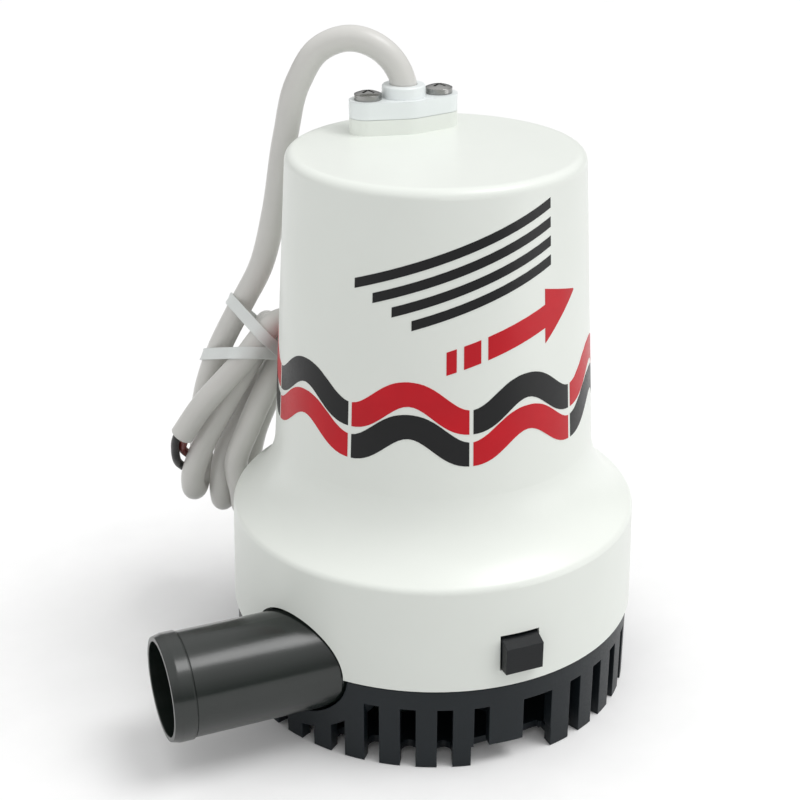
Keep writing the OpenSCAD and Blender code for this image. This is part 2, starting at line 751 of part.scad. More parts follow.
// A sprung finger with a button that stands out through the housing's window and holds the strainer on
module latch() {
    color("#2b2f33") {
        translate([0, -pivot_r, pivot_z]) rotate([0, 90, 0])
            translate([0, 0, -latch_w / 2 - 5]) cylinder(r = pin_r, h = latch_w + 10);
        translate([-latch_w / 2 + 1, -pivot_r - finger_t / 2, pivot_z])
            cube([latch_w - 2, finger_t, button_z[0] - pivot_z + 4]);
        translate([latch_w / 2, 0, 0]) rotate([90, 0, -90]) linear_extrude(latch_w)
            polygon([[pivot_r - finger_t / 2 + 2.2, button_z[0]], [button_out, button_z[0]],
                [button_out, button_z[1] - 2.1], [button_out - 5.4, button_z[1]],
                [pivot_r + finger_t / 2 + 2, button_z[1]], [pivot_r - finger_t / 2, button_z[0] + 4.5],
                [pivot_r - finger_t / 2, button_z[0]]]);
    }
}

module latch_front() {
    latch();
}

module latch_rear() {
    rotate(180) latch();
}

housing();
cable_cap();
cap_screws();
cable_grommet();
power_cable();
black_wire();
brown_wire();
cable_ties();
motor_leads();
motor_can();
motor_cushion();
end_bell();
upper_bush();
lower_bush();
magnets();
shaft();
armature_core();
windings();
commutator();
brush_holders();
brush_left();
brush_right();
brush_spring_left();
brush_spring_right();
capacitor();
seal_plate();
o_ring();
shaft_seal();
slinger();
volute();
volute_screws();
impeller();
impeller_washer();
impeller_nut();
strainer_base();
latch_front();
latch_rear();
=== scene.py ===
"""The looks of a submersible bilge pump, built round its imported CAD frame.

The frame's hard parts keep their CAD shapes and get node materials. The cable, its two wires, the
ties round the hank, the brush springs and the print on the housing are made here. Lengths are in
millimetres until a mesh is made, which scales them to metres.
"""
import math

import bpy
from mathutils import Matrix, Vector


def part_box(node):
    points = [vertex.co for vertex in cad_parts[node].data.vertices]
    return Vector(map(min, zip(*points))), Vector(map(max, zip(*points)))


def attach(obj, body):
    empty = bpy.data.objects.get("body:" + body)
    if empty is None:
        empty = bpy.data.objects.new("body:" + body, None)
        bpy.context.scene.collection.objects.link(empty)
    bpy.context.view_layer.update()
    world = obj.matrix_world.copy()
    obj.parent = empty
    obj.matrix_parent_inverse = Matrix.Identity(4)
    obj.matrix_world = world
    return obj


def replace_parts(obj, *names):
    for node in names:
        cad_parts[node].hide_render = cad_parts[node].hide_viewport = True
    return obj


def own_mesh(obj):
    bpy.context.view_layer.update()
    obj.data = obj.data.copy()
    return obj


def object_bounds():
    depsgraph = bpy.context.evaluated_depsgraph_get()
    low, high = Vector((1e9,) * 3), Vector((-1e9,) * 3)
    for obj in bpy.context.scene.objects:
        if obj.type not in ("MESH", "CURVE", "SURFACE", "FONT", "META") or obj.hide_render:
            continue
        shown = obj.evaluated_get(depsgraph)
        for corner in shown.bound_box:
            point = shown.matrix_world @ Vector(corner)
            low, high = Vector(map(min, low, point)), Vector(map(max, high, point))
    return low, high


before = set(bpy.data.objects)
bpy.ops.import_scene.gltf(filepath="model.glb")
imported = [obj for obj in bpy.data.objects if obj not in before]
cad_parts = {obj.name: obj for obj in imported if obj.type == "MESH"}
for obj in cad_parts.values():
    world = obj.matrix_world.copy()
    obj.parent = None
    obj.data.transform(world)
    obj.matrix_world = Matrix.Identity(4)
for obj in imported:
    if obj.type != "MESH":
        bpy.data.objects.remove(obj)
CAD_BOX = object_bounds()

MM = 0.001


# ---- Node materials ----


def srgb(red, green, blue):
    """A scene-linear colour from 8-bit values."""
    def channel(value):
        v = value / 255
        return v / 12.92 if v <= 0.04045 else ((v + 0.055) / 1.055) ** 2.4

    return (channel(red), channel(green), channel(blue), 1.0)


def shade(colour, factor):
    """A colour made darker or lighter."""
    return tuple(min(1.0, c * factor) for c in colour[:3]) + (1.0,)


class Nodes:
    """A material's or world's node tree, built a step at a time."""

    def __init__(self, owner):
        owner.use_nodes = True
        self.owner = owner
        self.tree = owner.node_tree
        self.tree.nodes.clear()

    def add(self, kind, inputs=None, **settings):
        node = self.tree.nodes.new(kind)
        for key, value in settings.items():
            setattr(node, key, value)
        for key, value in (inputs or {}).items():
            if isinstance(value, bpy.types.NodeSocket):
                self.tree.links.new(value, node.inputs[key])
            else:
                node.inputs[key].default_value = value
        return node

    def place(self, stretch=(1, 1, 1)):
        """Object coordinates in metres, stretched along the axes."""
        coords = self.add("ShaderNodeTexCoord")
        inputs = {"Vector": coords.outputs["Object"], "Scale": stretch}
        return self.add("ShaderNodeMapping", inputs).outputs[0]

    def noise(self, where, scale, detail=3.0, roughness=0.55):
        inputs = {"Vector": where, "Scale": scale, "Detail": detail, "Roughness": roughness}
        node = self.add("ShaderNodeTexNoise", inputs)
        return node.outputs["Fac"]

    def spread(self, value, low, high, start=0.3, end=0.7):
        """Maps a noise's usual range to another range."""
        node = self.add("ShaderNodeMapRange", {"Value": value, "From Min": start, "From Max": end,
                                               "To Min": low, "To Max": high})
        return node.outputs[0]

    def mix(self, factor, first, second):
        node = self.add("ShaderNodeMix", data_type="RGBA")
        for index, value in ((0, factor), (6, first), (7, second)):
            if isinstance(value, bpy.types.NodeSocket):
                self.tree.links.new(value, node.inputs[index])
            else:
                node.inputs[index].default_value = value
        return node.outputs[2]

    def choose(self, factor, first, second):
        return self.add("ShaderNodeMix", {0: factor, 2: first, 3: second}, data_type="FLOAT").outputs[0]

    def rounded(self, radius):
        """A normal that rounds sharp edges off."""
        return self.add("ShaderNodeBevel", {"Radius": radius}, samples=6).outputs[0]

    def edge(self, rounded):
        """One near sharp edges, nought on open faces."""
        flat = self.add("ShaderNodeNewGeometry").outputs["Normal"]
        dot = self.add("ShaderNodeVectorMath", operation="DOT_PRODUCT")
        self.tree.links.new(rounded, dot.inputs[0])
        self.tree.links.new(flat, dot.inputs[1])
        return self.spread(dot.outputs["Value"], 1.0, 0.0, 0.8, 0.995)

    def bump(self, height, distance, normal=None):
        inputs = {"Height": height, "Distance": distance, "Strength": 1.0}
        if normal is not None:
            inputs["Normal"] = normal
        return self.add("ShaderNodeBump", inputs).outputs[0]

    def finish(self, colour, roughness, normal, metallic=0.0, **extra):
        inputs = {"Base Color": colour, "Roughness": roughness, "Normal": normal, "Metallic": metallic}
        inputs.update(extra)
        shader = self.add("ShaderNodeBsdfPrincipled", inputs)
        self.add("ShaderNodeOutputMaterial", {"Surface": shader.outputs[0]})
        return self.owner


# Roughness stays wholly above 0.28 or wholly below 0.27, since the renderer's clean-up specks a surface that
# crosses the line between them.
EDGE_HIGHLIGHT_PALE, EDGE_HIGHLIGHT_DARK = 1.3, 4.0  # how much lighter a pale and a dark surface are painted along sharp edges, a painted highlight


def moulding(name, colour, rough, tint=0.04, cloud=30.0, grain=600.0, depth=8e-6, edge=4e-4, edge_highlight=0.15,
             stretch=(1, 1, 1), spread=0.05, metallic=0.0, waves=0.0, **extra):
    """A moulded, cast or drawn surface: cloudy tint, fine grain and, where edge is set, rounded edges with a
    painted highlight along them."""
    n = Nodes(bpy.data.materials.new(name))
    clouds = n.noise(n.place(), cloud, 4.0)
    fine = n.noise(n.place(stretch), grain, 3.0, 0.6)
    tone = n.mix(n.spread(clouds, 0.0, 1.0), shade(colour, 1 - tint), shade(colour, 1 + tint))
    normal = None
    if edge:
        normal = n.rounded(edge)
        # Painted highlight: the colour is lightened along sharp edges, where the rounded edges would catch
        # the light.
        share = n.add("ShaderNodeMath", {0: n.edge(normal), 1: edge_highlight}, operation="MULTIPLY").outputs[0]
        tone = n.mix(share, tone, shade(colour, EDGE_HIGHLIGHT_PALE if max(colour[:3]) > 0.3 else EDGE_HIGHLIGHT_DARK))
    roughness = n.spread(fine, rough - spread, rough + spread)
    bumped = n.bump(fine, depth, normal)
    if waves:
        bumped = n.bump(clouds, waves, bumped)
    return n.finish(tone, roughness, bumped, metallic, **extra)


def ribbed(name, colour, rough, metallic, axis, pitch, depth, contrast=0.3, edge=3e-4):
    """Close parallel lines across an axis, such as laminations or wound wire."""
    n = Nodes(bpy.data.materials.new(name))
    where = n.place()
    # One band of the wave texture is a twentieth of its scale's inverse times a full turn
    scale = math.tau / (20.0 * pitch)
    wave = n.add("ShaderNodeTexWave", {"Vector": where, "Scale": scale, "Distortion": 0.4, "Detail": 1.0},
                 bands_direction=axis, wave_profile="SIN").outputs["Fac"]
    fine = n.noise(where, 500.0)
    tinted = n.mix(n.spread(wave, 0.0, 1.0, 0.0, 0.8), shade(colour, 1 - contrast), colour)
    speckled = n.mix(n.spread(fine, 0.0, 1.0), shade(tuple(colour), 0.85), tinted)
    roughness = n.spread(fine, rough - 0.06, rough + 0.06)
    return n.finish(speckled, roughness, n.bump(wave, depth, n.rounded(edge)), metallic)


# How strongly a surface mirrors, where that differs from plain plastic
DULL = {"Specular IOR Level": 0.28}
GLOSSY = {"Specular IOR Level": 0.62}

HOUSING_WHITE = moulding("housing_white", srgb(236, 240, 234), 0.33, tint=0.012, cloud=22.0,
                         grain=420.0, depth=3e-6, edge=0, waves=6e-5, spread=0.04)
CAP_WHITE = moulding("cap_white", srgb(238, 243, 243), 0.33, tint=0.012, cloud=40.0, grain=420.0,
                     depth=3e-6, edge=6e-4, edge_highlight=0.03, waves=2e-5, spread=0.04)
STAINLESS = moulding("stainless", srgb(150, 150, 148), 0.19, tint=0.06, cloud=160.0, grain=900.0,
                     depth=5e-6, edge=2.5e-4, edge_highlight=0.05, spread=0.07, metallic=1.0, stretch=(1, 4, 1))
BLACK_RUBBER = moulding("black_rubber", srgb(44, 44, 46), 0.62, tint=0.12, cloud=90.0, grain=1500.0,
                        depth=1.5e-5, edge=4e-4, edge_highlight=0.05)
CABLE_PVC = moulding("cable_pvc", srgb(213, 212, 208), 0.32, tint=0.03, cloud=45.0, grain=700.0,
                     depth=6e-6, edge=0, waves=8e-5, spread=0.035)
CABLE_FILLER = moulding("cable_filler", srgb(170, 168, 160), 0.7, tint=0.1, cloud=300.0, grain=1500.0,
                        depth=4e-5, edge=0)
WIRE_BLACK = moulding("wire_black", srgb(24, 24, 26), 0.34, tint=0.15, cloud=150.0, grain=900.0,
                      depth=6e-6, edge=0)
WIRE_BROWN = moulding("wire_brown", srgb(112, 30, 26), 0.36, tint=0.10, cloud=150.0, grain=900.0,
                      depth=6e-6, edge=0)
TIE_NYLON = moulding("tie_nylon", srgb(226, 230, 228), 0.42, tint=0.03, cloud=80.0, grain=900.0,
                     depth=6e-6, edge=0, spread=0.08)
LEAD_PVC = moulding("lead_pvc", srgb(96, 26, 24), 0.40, tint=0.12, cloud=90.0, grain=900.0, depth=6e-6,
                    edge=0)
MOTOR_STEEL = moulding("motor_steel", srgb(176, 179, 181), 0.38, tint=0.06, cloud=60.0, grain=260.0,
                       depth=8e-6, edge=5e-4, edge_highlight=0.1, spread=0.09, metallic=1.0,
                       stretch=(3, 3, 0.12))
BELL_PLASTIC = moulding("bell_plastic", srgb(58, 58, 60), 0.5, tint=0.15, cloud=200.0, grain=1200.0,
                        depth=2e-5)
PLATE_PLASTIC = moulding("plate_plastic", srgb(54, 57, 60), 0.48, tint=0.12, cloud=160.0, grain=1100.0,
                         depth=1.8e-5)
BRONZE = moulding("bronze", srgb(186, 146, 92), 0.42, tint=0.15, cloud=700.0, grain=2200.0,
                  depth=1.2e-5, edge=2e-4, edge_highlight=0.1, metallic=1.0)
FERRITE = moulding("ferrite", srgb(66, 66, 70), 0.55, tint=0.15, cloud=120.0, grain=900.0, depth=2e-5,
                   edge=3e-4, edge_highlight=0.2)
GROUND_STEEL = moulding("ground_steel", srgb(192, 193, 194), 0.19, tint=0.04, cloud=90.0, grain=300.0,
                        depth=4e-6, edge=3e-4, edge_highlight=0.05, spread=0.07, metallic=1.0,
                        stretch=(0.5, 0.5, 14))
LAMINATIONS = ribbed("laminations", srgb(150, 151, 153), 0.36, 1.0, "Z", 0.00065, 3e-5)
WOUND_COPPER = ribbed("wound_copper", srgb(178, 92, 48), 0.36, 0.9, "X", 0.0009, 1e-4, 0.45)
TURNED_COPPER = ribbed("turned_copper", srgb(206, 132, 98), 0.36, 1.0, "Z", 0.0004, 6e-6, 0.12)
BRASS = moulding("brass", srgb(205, 174, 104), 0.34, tint=0.07, cloud=120.0, grain=500.0, depth=5e-6,
                 edge=3e-4, edge_highlight=0.08, metallic=1.0, stretch=(0.3, 3, 3))
CARBON = moulding("carbon", srgb(48, 48, 50), 0.46, tint=0.2, cloud=500.0, grain=2400.0, depth=1.5e-5,
                  edge=3e-4, edge_highlight=0.25)
SPRING_STEEL = moulding("spring_steel", srgb(188, 189, 191), 0.20, tint=0.05, cloud=300.0,
                        grain=1500.0, depth=3e-6, edge=0, metallic=1.0)
CERAMIC = moulding("ceramic", srgb(176, 112, 48), 0.35, tint=0.08, cloud=220.0, grain=700.0,
                   depth=3e-5, edge=8e-4, edge_highlight=0.05)
OUTLET_BLACK = moulding("outlet_black", srgb(25, 31, 28), 0.22, tint=0.12, cloud=55.0, grain=330.0,
                        depth=2.8e-5, edge=5e-4, edge_highlight=0.25, spread=0.045, stretch=(0.05, 1, 1),
                        waves=5e-5, **GLOSSY)
IMPELLER_BLACK = moulding("impeller_black", srgb(56, 60, 60), 0.34, tint=0.08, cloud=80.0, grain=700.0,
                          depth=6e-6, edge_highlight=0.2)
STRAINER_BLACK = moulding("strainer_black", srgb(24, 30, 34), 0.42, tint=0.08, cloud=60.0,
                          grain=1300.0, depth=1.6e-5, edge=5e-4, edge_highlight=0.35, spread=0.07, **DULL)
LATCH_BLACK = moulding("latch_black", srgb(14, 17, 20), 0.38, tint=0.08, cloud=80.0, grain=1300.0,
                       depth=1.2e-5, edge=4e-4, edge_highlight=0.3, spread=0.06, **DULL)
PRINT_BLACK = moulding("print_black", srgb(10, 11, 13), 0.34, tint=0.10, cloud=70.0, grain=900.0,
                       depth=3e-6, edge=0, **DULL)
PRINT_RED = moulding("print_red", srgb(196, 12, 30), 0.34, tint=0.06, cloud=70.0, grain=900.0,
                     depth=3e-6, edge=0, **DULL)
BARE_COPPER = moulding("bare_copper", srgb(205, 128, 84), 0.34, tint=0.1, cloud=500.0, grain=1500.0,
                       depth=6e-6, edge=0, metallic=1.0)

NODE_MATERIALS = {
    "housing": HOUSING_WHITE, "cable_cap": CAP_WHITE, "cap_screws": STAINLESS, "cable_grommet": BLACK_RUBBER,
    "power_cable": CABLE_PVC, "black_wire": WIRE_BLACK, "brown_wire": WIRE_BROWN, "cable_ties": TIE_NYLON,
    "motor_leads": LEAD_PVC, "motor_can": MOTOR_STEEL, "motor_cushion": BLACK_RUBBER,
    "end_bell": BELL_PLASTIC, "upper_bush": BRONZE, "lower_bush": BRONZE, "magnets": FERRITE,
    "shaft": GROUND_STEEL, "armature_core": LAMINATIONS, "windings": WOUND_COPPER,
    "commutator": TURNED_COPPER, "brush_holders": BRASS, "brush_left": CARBON, "brush_right": CARBON,
    "brush_spring_left": SPRING_STEEL, "brush_spring_right": SPRING_STEEL, "capacitor": CERAMIC,
    "seal_plate": PLATE_PLASTIC, "o_ring": BLACK_RUBBER, "shaft_seal": BLACK_RUBBER,
    "slinger": BLACK_RUBBER, "volute": OUTLET_BLACK, "volute_screws": STAINLESS,
    "impeller": IMPELLER_BLACK, "impeller_washer": STAINLESS, "impeller_nut": STAINLESS,
    "strainer_base": STRAINER_BLACK, "latch_front": LATCH_BLACK, "latch_rear": LATCH_BLACK,
}
for node_name, node_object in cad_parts.items():
    node_object.data.materials.clear()
    node_object.data.materials.append(NODE_MATERIALS[node_name])


# ---- Meshes ----


class Shape:
    """Vertices and faces of one piece, gathered in millimetres."""

    def __init__(self):
        self.points = []
        self.faces = []
        self.slots = []

    def add(self, points, faces, slot=0):
        first = len(self.points)
        self.points += [Vector(p) for p in points]
        self.faces += [tuple(first + i for i in face) for face in faces]
        self.slots += [slot] * len(faces)

    def rings(self, rings, slot=0, closed=False, caps=(True, True)):
        """Skins a row of equal rings of points. A closed row joins its last ring to its first."""
        count, size = len(rings), len(rings[0])
        points = [p for ring in rings for p in ring]
        faces = []
        for i in range(count if closed else count - 1):
            low, high = i * size, (i + 1) % count * size
            for k in range(size):
                after = (k + 1) % size
                faces.append((low + k, low + after, high + after, high + k))
        if not closed:
            if caps[0]:
                faces.append(tuple(range(size - 1, -1, -1)))
            if caps[1]:
                faces.append(tuple((count - 1) * size + k for k in range(size)))
        self.add(points, faces, slot)

    def piece(self, name, materials, body="pump", crease=35.0):
        """Makes the object, smooth except where faces meet at more than the crease angle."""
        mesh = bpy.data.meshes.new(name)
        mesh.from_pydata([p * MM for p in self.points], [], self.faces)
        for material in materials:
            mesh.materials.append(material)
        mesh.polygons.foreach_set("material_index", self.slots)
        mesh.shade_smooth()
        mesh.set_sharp_from_angle(angle=math.radians(crease))
        mesh.update()
        obj = bpy.data.objects.new(name, mesh)
        bpy.context.scene.collection.objects.link(obj)
        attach(obj, body)
        return obj


def even(low, high, count):
    return [low + (high - low) * i / count for i in range(count + 1)]


def curve(points, steps):
    """A smooth curve through its points, the same one that the CAD cable follows."""
    def heading(i):
        if i == 0:
            return (points[1] - points[0]).normalized()
        if i == len(points) - 1:
            return (points[i] - points[i - 1]).normalized()
        back, on = (points[i] - points[i - 1]), (points[i + 1] - points[i])
        return (back * (on.length / back.length) + on * (back.length / on.length)).normalized()

    out = []
    for i in range(len(points) - 1):
        a, b = points[i], points[i + 1]
        span = (b - a).length
        ha, hb = heading(i), heading(i + 1)
        for j in range(steps + (i == len(points) - 2)):
            t = j / steps
            out.append((2 * t ** 3 - 3 * t ** 2 + 1) * a + span * (t ** 3 - 2 * t ** 2 + t) * ha
                       + (3 * t ** 2 - 2 * t ** 3) * b + span * (t ** 3 - t ** 2) * hb)
    return out


def tangents(path):
    last = len(path) - 1
    return [(path[min(i + 1, last)] - path[max(i - 1, 0)]).normalized() for i in range(last + 1)]


def carried(path, start):
    """A side direction at each point of a path, turned as little as possible along it."""
    sides, side = [], Vector(start)
    for t in tangents(path):
        side = (side - side.dot(t) * t).normalized()
        sides.append(side)
    return sides


def circle(centre, side, along, radius, count):
    up = along.cross(side)
    return [centre + radius * (math.cos(math.tau * k / count) * side + math.sin(math.tau * k / count) * up)
            for k in range(count)]


def tube(path, radius, count, start=(0, 1, 0)):
    """Rings of a round rod along a path."""
    return [circle(p, s, t, radius, count) for p, s, t in zip(path, carried(path, start), tangents(path))]


# ---- The brush springs ----

SPRING_WIRE = 0.35
SPRING_TURNS = 5.5
CLOSED = 0.16     # share of the wire, at each end, that lies nearly flat
FLAT_RISE = 0.14  # share of the spring's length that the wire climbs evenly from end to end


def brush_spring(name, node):
    """A coil spring with closed ends, from the brush to the end of its box, where it stays put."""
    low, high = (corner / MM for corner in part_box(node))
    middle = (low + high) / 2
    side = math.copysign(1.0, middle.x)
    inner, outer = sorted((abs(low.x), abs(high.x)))
    first, last = inner + SPRING_WIRE, outer - SPRING_WIRE
    coil = (high.z - low.z) / 2 - SPRING_WIRE
    path = []
    for t in even(0.0, 1.0, 150):
        a = math.tau * SPRING_TURNS * t
        rise = min(max((t - CLOSED) / (1 - 2 * CLOSED), 0.0), 1.0)
        x = first + (last - first) * ((1 - FLAT_RISE) * rise + FLAT_RISE * t)
        path.append(Vector((side * x, middle.y + coil * math.cos(a), middle.z + coil * math.sin(a))))
    shape = Shape()
    shape.rings(tube(path, SPRING_WIRE, 10, (1, 0, 0)))
    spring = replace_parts(shape.piece(name, [SPRING_STEEL]), node)
    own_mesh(spring)


brush_spring("left_coil_spring", "brush_spring_left")
brush_spring("right_coil_spring", "brush_spring_right")


# ---- The cable and its wires ----
# The hank's points are (side, depth, height) in the hank's own frame, turned about the pump's axis.

HANK = Matrix.Rotation(math.radians(-24), 3, "Z")
GLAND_Y = 28.5
CABLE_R = 4.65
CABLE_STEPS = 9    # steps of the cable between two of its points
WIRE_R = 1.7
STRAND_R = 0.22    # a bare copper strand
STRAND_OUT = 0.45  # from the wire's middle to the strands round it
STRAND_TWIST = 0.35


def turn(centre, side, end):
    """Half a turn about a centre, from one side to the other by way of the end."""
    return [Vector(centre) + math.cos(t) * Vector(side) + math.sin(t) * Vector(end)
            for t in (math.radians(45 * k) for k in range(5))]


def placed(points):
    return [HANK @ Vector(p) for p in points]


GLAND = HANK.inverted() @ Vector((0, GLAND_Y, 0))
ARCH = [(GLAND.x, GLAND.y, z) for z in (194.6, 208, 214, 220)] + [
    (-14.2, 26, 226.4), (-20.6, 26.5, 232.8), (-30.3, 27.5, 235.7), (-41, 28.4, 232),
    (-49.3, 29.5, 219.9), (-54.7, 31.6, 199.7), (-60.7, 35, 167.5), (-66, 36.5, 148),
    (-75, 38.3, 130.4), (-85.4, 41, 109.1), (-91.4, 43.8, 91), (-94.2, 45.8, 73)]
LOOPS = (turn((-95.4, 38.2, 60.3), (0.6, 8.1, 0), (-0.6, 0, -8.1))
         + [(-92, 29.9, 72.5), (-80.3, 30.8, 94.6), (-72, 32.2, 109)]
         + turn((-68.6, 42.4, 114.5), (0.2, -8.8, 1.5), (3.2, 0, 7.6))
         + [(-75.2, 52.8, 97), (-83.4, 53.4, 74)]
         + turn((-86.2, 45.2, 51.9), (-0.3, 8, 0), (0.1, 0, -8.1))
         + [(-84.2, 37.6, 65), (-77.2, 38.8, 80.5), (-69, 41, 97)]
         + turn((-59.2, 52, 105.3), (-0.4, -8.6, 1.8), (3.4, 0, 7.6))
         + [(-67, 59.4, 84), (-74, 58, 66)]
         + turn((-76.7, 43, 53.2), (0.3, 11.8, 0), (0, 0, -10.5))
         + [(-78.2, 29.4, 67), (-72, 29, 84.4), (-64.6, 31, 101)]
         + turn((-60.6, 29.8, 121.3), (4.4, 6.2, -3), (4.2, 0.6, 6.8)))
FREE_END = [(-72, 22, 115.4), (-80.1, 22, 106), (-89, 22.6, 95.6), (-98, 24, 82)]


def cable():
    """The jacket, whose cut end shows a hollow with the filler set back in it."""
    path = curve(placed(ARCH + LOOPS + FREE_END), CABLE_STEPS)
    shape = Shape()
    side, along = carried(path, (0, 1, 0))[-1], tangents(path)[-1]

    def end_rings(profile):
        return [circle(path[-1] + along * out, side, along, r, 32) for out, r in profile]

    lip = [(0.12, CABLE_R - 0.08), (0.2, CABLE_R - 0.3), (0.2, 3.55), (0.05, 3.4), (-2.2, 3.35)]
    filler = [(-2.2, 3.4), (-1.6, 2.4), (-1.4, 0.6)]
    shape.rings(tube(path, CABLE_R, 32) + end_rings(lip), caps=(True, False))
    shape.rings(end_rings(filler), slot=1)
    jacket = shape.piece("cable_jacket", [CABLE_PVC, CABLE_FILLER])
    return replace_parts(jacket, "power_cable")


def wire(name, points, insulation, node):
    """An insulated wire with a short length of bare twisted strands at its end."""
    path = curve(placed(points), 8)
    shape = Shape()
    rings = tube(path, WIRE_R, 20)
    side, along = carried(path, (0, 1, 0))[-1], tangents(path)[-1]
    rings += [circle(path[-1] + along * 0.1, side, along, r, 20) for r in (WIRE_R - 0.12, 0.8)]
    shape.rings(rings)
    up = along.cross(side)
    bundle = [(0.0, 0.0)] + [(STRAND_OUT, math.tau * k / 6) for k in range(6)]
    for radius, start in bundle:
        strand = []
        for i in range(9):
            a = start + STRAND_TWIST * i
            strand.append(path[-1] + along * (0.6 * i - 0.4)
                          + radius * (math.cos(a) * side + math.sin(a) * up))
        shape.rings(tube(strand, STRAND_R, 8), slot=1)
    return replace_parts(shape.piece(name, [insulation, BARE_COPPER]), node)


cable()
wire("black_wire_end",
     [(-98.9, 23.3, 83.4), (-99.7, 23.4, 82), (-101, 24.7, 78.6), (-101.7, 26.8, 74.5),
      (-102, 29, 70), (-101.8, 32, 66), (-99.6, 36.6, 61)],
     WIRE_BLACK, "black_wire")
wire("brown_wire_end",
     [(-96.4, 24.5, 81.9), (-97.3, 24.7, 80.5), (-98.3, 27, 77.2), (-99.4, 30, 73.6),
      (-98.9, 34, 69.6), (-96.9, 38, 66)],
     WIRE_BROWN, "brown_wire")


# ---- The ties round the hank ----

TIE_LEAN = 24     # degrees that the bands' planes lean back
TIE_SLACK = 0.05  # gap between a strand and a band
TIE_T = 1.1       # thickness of a band
TIE_W = 4.6       # width of a band
REACH_X = 30      # strands further than this from a band's middle aren't inside it
REACH_Y = (-10, 60)
SPOKES = 72       # points in the outline of one strand


def tie_plane(at, angle):
    """The frame of one band: x and y in its plane, z across its width."""
    return (Matrix.Translation(Vector(at)) @ Matrix.Rotation(math.radians(-TIE_LEAN), 4, "X")
            @ Matrix.Rotation(math.radians(angle), 4, "Y"))


def hull(points):
    """The convex outline of points in a plane, going round to the left."""
    points = sorted(set(points))

    def half(row):
        out = []
        for p in row:
            while len(out) > 1 and ((out[-1][0] - out[-2][0]) * (p[1] - out[-2][1])
                                    <= (out[-1][1] - out[-2][1]) * (p[0] - out[-2][0])):
                out.pop()
            out.append(p)
        return out[:-1]

    return half(points) + half(points[::-1])


def sections(plane, across, path):
    """The outlines of the cable where it passes through a band's plane, at one place across the band."""
    local = [plane.inverted() @ p for p in path]
    outlines = []
    for a, b in zip(local, local[1:]):
        if (a.z - across) * (b.z - across) > 0:
            continue
        centre = a.lerp(b, (across - a.z) / (b.z - a.z))
        if abs(centre.x) > REACH_X or not REACH_Y[0] < centre.y < REACH_Y[1]:
            continue
        way = (b - a).normalized()
        lean = way.xy * (1 / abs(way.z) - 1) / max(way.xy.length, 1e-6)
        side = way.xy.normalized()
        for k in range(SPOKES):
            spoke = Vector((math.cos(math.tau * k / SPOKES), math.sin(math.tau * k / SPOKES)))
            p = centre.xy + CABLE_R * (spoke + lean * spoke.dot(side)) + spoke * (TIE_SLACK + TIE_T / 2)
            outlines.append((round(p.x, 5), round(p.y, 5)))
    return outlines


def pulled_round(plane, across, path, middle, count=180):
    """A band's centre line, pulled tight round the strands, met by spokes from a point in the middle."""
    outline = [Vector(p) for p in hull(sections(plane, across, path))]
    out = []
    for k in range(count):
        spoke = Vector((math.cos(math.tau * k / count), math.sin(math.tau * k / count)))
        for a, b in zip(outline, outline[1:] + outline[:1]):
            a, b = a - middle, b - middle
            if spoke.cross(a) <= 0 < spoke.cross(b):
                share = spoke.cross(a) / (spoke.cross(a) - spoke.cross(b))
                met = a.lerp(b, share)
                if met.dot(spoke) > 0:
                    out.append(Vector((*(met + middle), 0)))
                    break
    return out


# The strip's cross-section, (outward, across)
STRIP = [(0.55, -1.9), (0.50, -2.2), (0.25, -2.3), (-0.25, -2.3), (-0.50, -2.2), (-0.55, -1.9),
         (-0.55, 1.9), (-0.50, 2.2), (-0.25, 2.3), (0.25, 2.3), (0.50, 2.2), (0.55, 1.9),
         (0.47, 1.3), (0.47, 0.45), (0.47, -0.45), (0.47, -1.3)]


def strap(name, at, angle, middle):
    """A flat nylon band with rounded edges, each of which is pulled round the strands that it crosses."""
    plane = tie_plane(at, angle)
    half = TIE_W / 2
    low, high = (pulled_round(plane, w, HANK_PATH, Vector(middle)) for w in (-half, half))
    count = len(low)
    loop = [(a + b) / 2 for a, b in zip(low, high)]
    shape = Shape()
    rings = []
    for i in range(count):
        along = (loop[(i + 1) % count] - loop[i - 1]).normalized()
        out = Vector((along.y, -along.x, 0))
        rings.append([HANK @ (plane @ (low[i].lerp(high[i], (w + half) / TIE_W) + Vector((*(out * n).xy, w))))
                      for n, w in STRIP])
    shape.rings(rings, closed=True)
    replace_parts(shape.piece(name, [TIE_NYLON]), "cable_ties")
    return plane, loop


def rounded_box(half_x, half_y, corner, count=4):
    """An outline with rounded corners, in a plane."""
    return [(sx * (half_x - corner) + corner * math.cos(a), sy * (half_y - corner) + corner * math.sin(a))
            for sx, sy, start in ((1, 1, 0), (-1, 1, 90), (-1, -1, 180), (1, -1, 270))
            for a in (math.radians(start + 90 * i / (count - 1)) for i in range(count))]


def on_band(plane, loop, near):
    """The place on a band nearest to a point: where it is, outward, along and across."""
    i = min(range(len(loop)), key=lambda k: (loop[k] - Vector(near + (0,))).length)
    along = (loop[(i + 1) % len(loop)] - loop[i - 1]).normalized()
    turned = HANK @ plane.to_3x3()
    out = Vector((along.y, -along.x, 0))
    return HANK @ (plane @ loop[i]), turned @ out, turned @ along, turned @ Vector((0, 0, 1))


def tie_lock(name, plane, loop, near):
    """The lock: a small block with a slot in its face, and the trimmed end of the strip in the slot."""
    at, out, along, across = on_band(plane, loop, near)
    shape = Shape()

    def ring(height, inset, half=(2.9, 3.2), corner=0.7):
        return [at + out * height + along * x + across * y
                for x, y in rounded_box(half[0] - inset, half[1] - inset, max(corner - inset, 0.05))]

    hole = ((1.15, 2.5), 0.3)
    shape.rings([ring(-0.4, 0.3), ring(0.2, 0), ring(3.3, 0), ring(3.7, 0.15), ring(3.85, 0.45)]
                + [ring(3.85, 0, *hole), ring(3.6, 0.1, *hole), ring(0.9, 0.15, *hole)])
    shape.rings([ring(0.8, 0.3, *hole), ring(4.3, 0.3, *hole), ring(4.45, 0.45, *hole)])
    return shape.piece(name, [TIE_NYLON])


